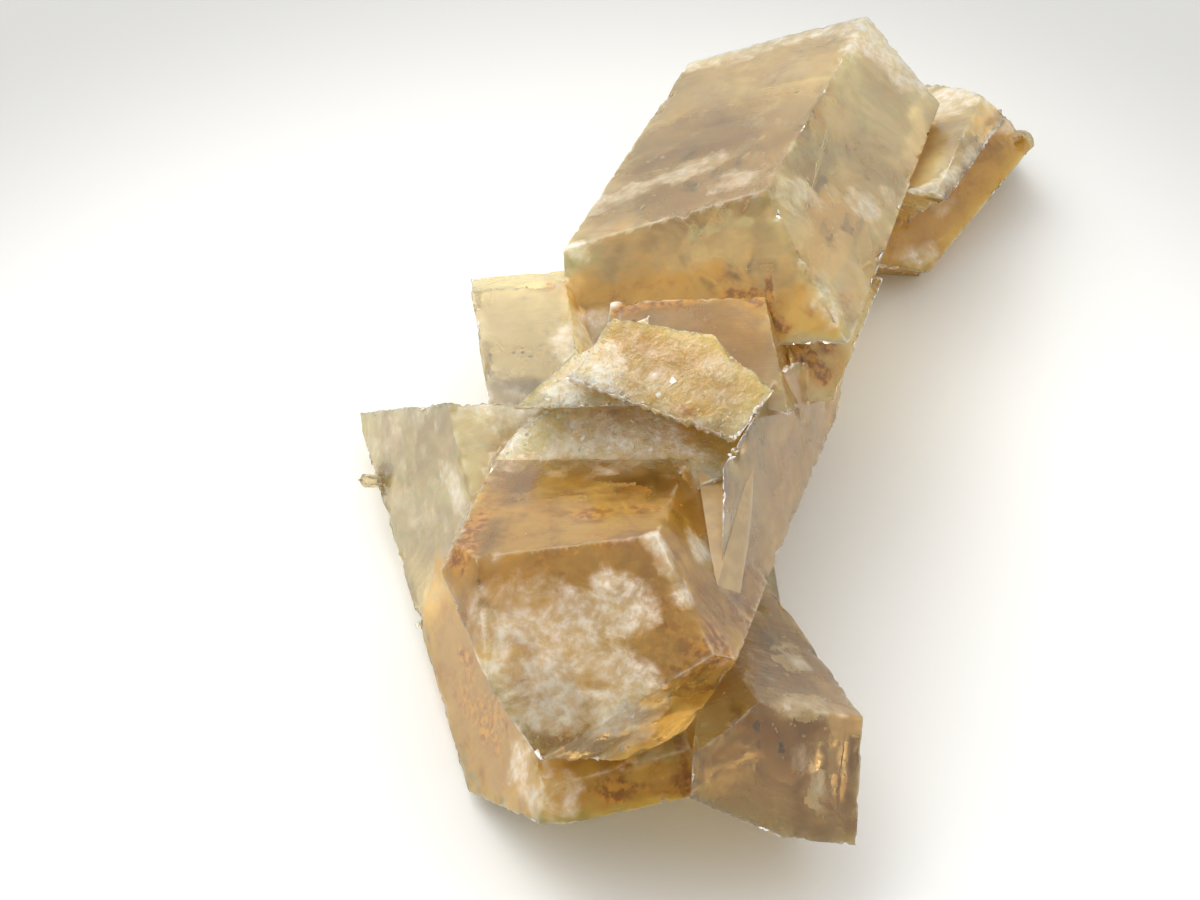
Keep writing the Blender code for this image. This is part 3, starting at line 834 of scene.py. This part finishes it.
# painted glints: white flecks that stand in for the light caught by small cracks
painted_glints = flecks([
    (560, 655, 48, 42, 260, 0.55, 0.4, 1.6), (600, 735, 36, 18, 110, 0.50, 0.35, 1.2),
    (640, 190, 40, 22, 90, 0.34, 0.4, 1.6), (870, 60, 40, 26, 90, 0.36, 0.4, 1.4),
    (845, 205, 30, 12, 46, 0.34, 0.4, 1.2), (830, 300, 10, 20, 50, 0.3, 0.4, 1.4),
    (570, 425, 60, 22, 170, 0.42, 0.3, 1.0), (785, 655, 20, 22, 46, 0.34, 0.5, 1.6),
    (800, 740, 40, 40, 50, 0.30, 0.5, 2.4), (450, 485, 10, 16, 40, 0.34, 0.4, 1.0),
    (540, 785, 26, 14, 46, 0.34, 0.4, 1.2), (720, 250, 70, 40, 70, 0.28, 0.5, 2.4),
    (600, 520, 60, 26, 80, 0.28, 0.5, 2.0), (760, 420, 40, 60, 60, 0.28, 0.5, 1.6),
    (395, 470, 26, 50, 40, 0.28, 0.5, 1.6), (980, 150, 30, 30, 40, 0.30, 0.4, 1.2),
    (915, 212, 9, 9, 26, 0.30, 0.4, 1.2), (555, 345, 26, 24, 70, 0.34, 0.3, 1.2),
], 77)
seal("inner_painted_glints", *painted_glints, "glint")

# the crevice beside the front crystal is grown shut
fill = bmesh.new()
for x, y, d0, d1 in ((697, 466, 0.5, 9), (706, 524, 0.4, 9), (716, 590, 0.4, 8), (756, 446, 0.3, 9), (752, 520, 0.3, 9), (740, 596, 0.3, 8)):
    for d in (d0, d1):
        fill.verts.new(at(x, y, d))
bmesh.ops.convex_hull(fill, input=fill.verts[:])
bmesh.ops.delete(fill, geom=[v for v in fill.verts if not v.link_faces], context="VERTS")
bmesh.ops.triangulate(fill, faces=fill.faces[:])
bmesh.ops.recalc_face_normals(fill, faces=fill.faces[:])
fill.verts.index_update()
seal("inner_fill", [v.co[:] for v in fill.verts], [[v.index for v in f.verts] for f in fill.faces], "fill")
fill.free()

# loose grit and small broken crystals grown on to the rough breaks
rng = np.random.default_rng(91)
sugar = {"plate": 1.0, "tongue": 0.9, "rim": 1.0, "root": 0.8, "wing": 0.35, "upper": 0.25, "sliver": 0.3, "small": 0.2}
weight = np.where(known, plane_rough[lab], 0.0) * area * np.array([sugar.get(n, 0.03) for n in names] + [0.0])[tri_crystal]
weight = weight * (fc[:, 2] > 1.5 * MM)
pick = rng.choice(len(tri), 2400, p=weight / weight.sum())
grit = []
for i in pick:
    w = rng.dirichlet((1, 1, 1))
    c = (moved[tri[i]] * w[:, None]).sum(axis=0)
    size = rng.uniform(0.10, 0.30) * (1.5 if rng.random() < 0.10 else 1.0)
    grit.append(grain_solid(c - fn[i] * size * 0.35 * MM, size, rng, rng.uniform(0.35, 0.9), fn[i] * 0.5))
grit = gather(grit)
seal("inner_grit", *grit, "grit")
inner_pieces = [bpy.data.objects[n] for n in ("inner_fill", "inner_veils", "inner_stains", "inner_painted_glints", "inner_grit")]


# ---------------------------------------------------------------- materials
class Graph:
    """Short names for making a material's nodes."""

    def __init__(self, name):
        self.mat = bpy.data.materials.new(name)
        self.mat.use_nodes = True
        self.nt = self.mat.node_tree
        self.shader = self.nt.nodes["Principled BSDF"]
        self.out = self.nt.nodes["Material Output"]

    def put(self, socket, value):
        if isinstance(value, bpy.types.NodeSocket):
            self.nt.links.new(value, socket)
        elif value is not None:
            socket.default_value = value

    def node(self, kind, **inputs):
        n = self.nt.nodes.new(kind)
        for key, value in inputs.items():
            self.put(n.inputs[key.replace("_", " ")], value)
        return n

    def attribute(self, name):
        n = self.nt.nodes.new("ShaderNodeAttribute")
        n.attribute_name = name
        return n

    def split(self, colour):
        n = self.nt.nodes.new("ShaderNodeSeparateColor")
        self.put(n.inputs[0], colour)
        return n.outputs

    def math(self, op, a, b=None, clamp=False):
        n = self.nt.nodes.new("ShaderNodeMath")
        n.operation = op
        n.use_clamp = clamp
        self.put(n.inputs[0], a)
        self.put(n.inputs[1], b)
        return n.outputs[0]

    def ramp(self, value, lo, hi, a=0.0, b=1.0, smooth=True):
        n = self.nt.nodes.new("ShaderNodeMapRange")
        n.interpolation_type = "SMOOTHSTEP" if smooth else "LINEAR"
        self.put(n.inputs["Value"], value)
        self.put(n.inputs["From Min"], lo)
        self.put(n.inputs["From Max"], hi)
        self.put(n.inputs["To Min"], a)
        self.put(n.inputs["To Max"], b)
        return n.outputs["Result"]

    def mix(self, share, a, b, kind="MIX"):
        n = self.nt.nodes.new("ShaderNodeMix")
        n.data_type = "RGBA"
        n.blend_type = kind
        self.put(n.inputs[0], share)
        for k, v in ((6, a), (7, b)):
            self.put(n.inputs[k], (*v, 1.0) if isinstance(v, tuple) and len(v) == 3 else v)
        return n.outputs[2]

    def place(self):
        return self.nt.nodes.new("ShaderNodeTexCoord").outputs["Object"]

    def noise(self, vector, scale, detail=3.0, rough=0.55, warp=0.0):
        n = self.nt.nodes.new("ShaderNodeTexNoise")
        self.put(n.inputs["Vector"], vector)
        n.inputs["Scale"].default_value = scale
        n.inputs["Detail"].default_value = detail
        n.inputs["Roughness"].default_value = rough
        n.inputs["Distortion"].default_value = warp
        return n.outputs["Fac"]

    def cells(self, vector, scale, feature="F1", out="Distance"):
        n = self.nt.nodes.new("ShaderNodeTexVoronoi")
        n.feature = feature
        self.put(n.inputs["Vector"], vector)
        n.inputs["Scale"].default_value = scale
        return n.outputs[out]

    def stretch(self, vector, x, y, z):
        n = self.nt.nodes.new("ShaderNodeVectorMath")
        n.operation = "MULTIPLY"
        self.put(n.inputs[0], vector)
        n.inputs[1].default_value = (x, y, z)
        return n.outputs[0]

    def bump(self, height, distance, strength=1.0, under=None):
        n = self.nt.nodes.new("ShaderNodeBump")
        self.put(n.inputs["Height"], height)
        n.inputs["Distance"].default_value = distance
        self.put(n.inputs["Strength"], strength)
        if under is not None:
            self.put(n.inputs["Normal"], under)
        return n.outputs["Normal"]


def quartz():
    g = Graph("smoky_quartz")
    place = g.place()
    tint_and_face_light = g.attribute("tint_and_face_light").outputs["Color"]
    gold, iron, smoke = g.split(g.attribute("stain").outputs["Color"])[:3]
    milk, clear, worn_edge_and_highlight = g.split(g.attribute("cloud_and_edge_highlight").outputs["Color"])[:3]
    rough, prism, inner = g.split(g.attribute("kind").outputs["Color"])[:3]
    grain = g.attribute("grain").outputs["Vector"]

    fine = g.noise(place, 1100, 2, 0.6)
    mid = g.noise(place, 300, 5, 0.66, 0.5)
    wisp = g.noise(place, 120, 4, 0.6, 0.6)
    lines = g.noise(g.stretch(grain, 4.2, 0.09, 1.0), 1.0, 2, 0.6)
    lines2 = g.noise(g.stretch(grain, 0.7, 0.03, 1.0), 1.0, 1, 0.5)

    def torn(mask, lo, hi, by, noise=mid):
        """A soft zone broken up by fine noise into patches with ragged outlines."""
        grained = g.math("ADD", mask, g.math("MULTIPLY", g.math("SUBTRACT", noise, 0.5), by))
        return g.math("MULTIPLY", g.ramp(grained, lo, hi), g.ramp(mask, 0.02, 0.3))

    milky = torn(milk, 0.08, 1.05, 2.1)
    irony = torn(iron, 0.30, 0.95, 1.5)
    golden = torn(gold, 0.10, 1.10, 1.6, wisp)
    smoky = torn(smoke, 0.10, 1.00, 0.6)

    # body colour, with the change from place to place that the real one has; it also carries the painted face light and
    # shade and the painted edge highlight
    body = g.mix(g.ramp(mid, 0.52, 0.80, 0.0, 0.15), tint_and_face_light, (0.50, 0.32, 0.11))
    body = g.mix(g.ramp(mid, 0.46, 0.26, 0.0, 0.20), body, (0.90, 0.77, 0.50))
    body = g.mix(g.math("MULTIPLY", g.ramp(lines, 0.52, 0.72, 0.0, 0.16), prism), body, (0.93, 0.87, 0.74))
    body = g.mix(g.math("MULTIPLY", golden, 0.92), body, g.mix(g.ramp(mid, 0.45, 0.70), (0.70, 0.415, 0.065), (0.47, 0.22, 0.022)))
    body = g.mix(g.math("MULTIPLY", smoky, 0.66), body, (0.38, 0.22, 0.075))
    body = g.mix(g.math("MULTIPLY", irony, 0.95), body, g.mix(g.ramp(fine, 0.4, 0.62), (0.27, 0.11, 0.015), (0.58, 0.29, 0.04)))
    body = g.mix(g.math("MULTIPLY", milky, 0.84), body, g.mix(g.ramp(fine, 0.35, 0.65), (0.74, 0.60, 0.40), (0.93, 0.89, 0.79)))
    # painted highlight along the outer edges, together with their worn frosting
    body = g.mix(g.math("MULTIPLY", worn_edge_and_highlight, 0.35), body, (0.90, 0.85, 0.73))
    g.put(g.shader.inputs["Base Color"], body)

    # how much is seen through: clear glass, hazy body, or cloud and rust
    through = g.ramp(wisp, 0.3, 0.72, 0.80, 0.62)
    through = g.math("SUBTRACT", through, g.math("MULTIPLY", milky, 0.34))
    through = g.math("SUBTRACT", through, g.math("MULTIPLY", irony, 0.30))
    through = g.math("SUBTRACT", through, g.math("MULTIPLY", golden, 0.24))
    through = g.math("SUBTRACT", through, g.math("MULTIPLY", smoky, 0.30))
    through = g.math("SUBTRACT", through, g.math("MULTIPLY", worn_edge_and_highlight, 0.25))
    through = g.math("SUBTRACT", through, g.math("MULTIPLY", rough, 0.20))
    through = g.math("ADD", through, g.math("MULTIPLY", clear, 0.4), clamp=True)
    g.put(g.shader.inputs["Transmission Weight"], through)

    grit = g.ramp(mid, 0.3, 0.7, 0.03, 0.12)
    grit = g.math("ADD", grit, g.math("MULTIPLY", rough, 0.12))
    grit = g.math("ADD", grit, g.math("MULTIPLY", milky, 0.15))
    grit = g.math("SUBTRACT", grit, g.math("MULTIPLY", clear, 0.2), clamp=True)
    g.put(g.shader.inputs["Roughness"], grit)

    g.shader.inputs["IOR"].default_value = 1.544
    g.shader.inputs["Subsurface Weight"].default_value = 0.7
    g.shader.inputs["Subsurface Radius"].default_value = (1.0, 0.70, 0.40)
    g.shader.inputs["Subsurface Scale"].default_value = 0.008
    g.put(g.shader.inputs["Coat Weight"], g.ramp(rough, 0.0, 1.0, 0.18, 0.10))
    g.shader.inputs["Coat Roughness"].default_value = 0.05
    g.shader.inputs["Coat IOR"].default_value = 1.5

    # relief too fine for the mesh: growth lines, hillocks, grit on the breaks
    relief = g.math("MULTIPLY", g.math("ADD", g.math("MULTIPLY", lines, 0.035), g.math("MULTIPLY", lines2, 0.10)), prism)
    relief = g.math("ADD", relief, g.math("MULTIPLY", g.noise(place, 1400, 2, 0.65), g.ramp(rough, 0, 1, 0.02, 0.42)))
    relief = g.math("ADD", relief, g.math("MULTIPLY", mid, g.ramp(rough, 0, 1, 0.10, 0.85)))
    n = g.bump(relief, 0.00075, 0.75)
    g.put(g.shader.inputs["Normal"], n)
    g.put(g.shader.inputs["Coat Normal"], n)

    absorb = g.nt.nodes.new("ShaderNodeVolumeAbsorption")
    absorb.inputs["Color"].default_value = (0.90, 0.68, 0.26, 1.0)
    absorb.inputs["Density"].default_value = 16.0
    g.nt.links.new(absorb.outputs[0], g.out.inputs["Volume"])
    return g.mat


def plain_quartz(name, colour, through, rough):
    """Quartz of one small kind of thing: a veil, a crack made near-white as a painted glint, or a grain."""
    g = Graph(name)
    shade = g.noise(g.place(), 420, 2, 0.6)
    low = tuple(c * 0.82 for c in colour)
    g.put(g.shader.inputs["Base Color"], g.mix(g.ramp(shade, 0.35, 0.65), low, colour))
    g.shader.inputs["Roughness"].default_value = rough
    g.shader.inputs["Transmission Weight"].default_value = through
    g.shader.inputs["IOR"].default_value = 1.544
    return g.mat


cluster.materials.append(quartz())
looks = {"veil": plain_quartz("quartz_veil", (0.98, 0.94, 0.84), 0.06, 0.28),
         # the glint flecks are painted highlights: their near-white colour stands in for the light the cracks catch
         "glint": plain_quartz("quartz_painted_glint", (0.97, 0.94, 0.86), 0.15, 0.12),
         "fill": plain_quartz("quartz_fill", (0.80, 0.57, 0.29), 0.35, 0.16),
         "stain": plain_quartz("quartz_stain", (0.62, 0.34, 0.065), 0.45, 0.30),
         "grit": plain_quartz("quartz_grit", (0.95, 0.80, 0.54), 0.45, 0.12)}
for piece in inner_pieces:
    piece.data.materials.append(looks[piece["look"]])

scene.cycles.max_bounces = 8
scene.cycles.diffuse_bounces = 3
scene.cycles.glossy_bounces = 3
scene.cycles.transmission_bounces = 8

# ---------------------------------------------------------------- floor and light
floor_mat = Graph("floor")
# painted shade: the floor is paler near the cluster and darker farther out, standing in for the falloff of the light
# and the lens's vignette
vignette_reach = floor_mat.nt.nodes.new("ShaderNodeVectorMath")
vignette_reach.operation = "LENGTH"
offset = floor_mat.nt.nodes.new("ShaderNodeVectorMath")
offset.operation = "ADD"
offset.inputs[1].default_value = (0.0, 0.02, 0.0)
floor_mat.put(offset.inputs[0], floor_mat.place())
floor_mat.put(vignette_reach.inputs[0], offset.outputs[0])
floor_mat.put(floor_mat.shader.inputs["Base Color"], floor_mat.mix(
    floor_mat.ramp(vignette_reach.outputs["Value"], 0.06, 0.135), (0.90, 0.90, 0.88), (0.52, 0.52, 0.505)))
floor_mat.shader.inputs["Roughness"].default_value = 0.7
floor_mat.shader.inputs["Specular IOR Level"].default_value = 0.2
me = bpy.data.meshes.new("floor")
fb = bmesh.new()
bmesh.ops.create_grid(fb, x_segments=8, y_segments=8, size=2.0, matrix=Matrix.Translation((0, 0, -0.0002)))
fb.to_mesh(me)
fb.free()
me.materials.append(floor_mat.mat)
floor = bpy.data.objects.new("floor", me)
scene.collection.objects.link(floor)

world = bpy.data.worlds.new("studio") if scene.world is None else scene.world
scene.world = world
world.use_nodes = True
wn = world.node_tree
sky = wn.nodes["Background"]
sky.inputs["Strength"].default_value = 1.0


def lobe(towards, power, gain):
    """A soft patch of light in the dome, brightest in one direction."""
    n = wn.nodes.new("ShaderNodeVectorMath")
    n.operation = "DOT_PRODUCT"
    wn.links.new(dome.outputs["Generated"], n.inputs[0])
    n.inputs[1].default_value = unit(towards)
    up = wn.nodes.new("ShaderNodeMath")
    up.operation = "MAXIMUM"
    wn.links.new(n.outputs["Value"], up.inputs[0])
    up.inputs[1].default_value = 0.0
    pw = wn.nodes.new("ShaderNodeMath")
    pw.operation = "POWER"
    wn.links.new(up.outputs[0], pw.inputs[0])
    pw.inputs[1].default_value = power
    mul = wn.nodes.new("ShaderNodeMath")
    mul.operation = "MULTIPLY"
    wn.links.new(pw.outputs[0], mul.inputs[0])
    mul.inputs[1].default_value = gain
    return mul.outputs[0]


dome = wn.nodes.new("ShaderNodeTexCoord")
glow = wn.nodes.new("ShaderNodeMath")
glow.operation = "ADD"
wn.links.new(lobe((-0.50, 0.62, 0.75), 9, 3.9), glow.inputs[0])
wn.links.new(lobe((0.05, -0.82, 0.57), 3, -0.80), glow.inputs[1])
total = wn.nodes.new("ShaderNodeMath")
total.operation = "ADD"
wn.links.new(glow.outputs[0], total.inputs[0])
wn.links.new(lobe((0.35, -0.2, 1.0), 24, 0.9), total.inputs[1])
dim = wn.nodes.new("ShaderNodeMath")
dim.operation = "ADD"
wn.links.new(total.outputs[0], dim.inputs[0])
dim.inputs[1].default_value = 1.02
wn.links.new(dim.outputs[0], sky.inputs["Strength"])
sky.inputs["Color"].default_value = (1.0, 0.995, 0.985, 1)

world.cycles.sampling_method = "NONE"

scene.view_settings.view_transform = "Standard"
scene.view_settings.look = "None"
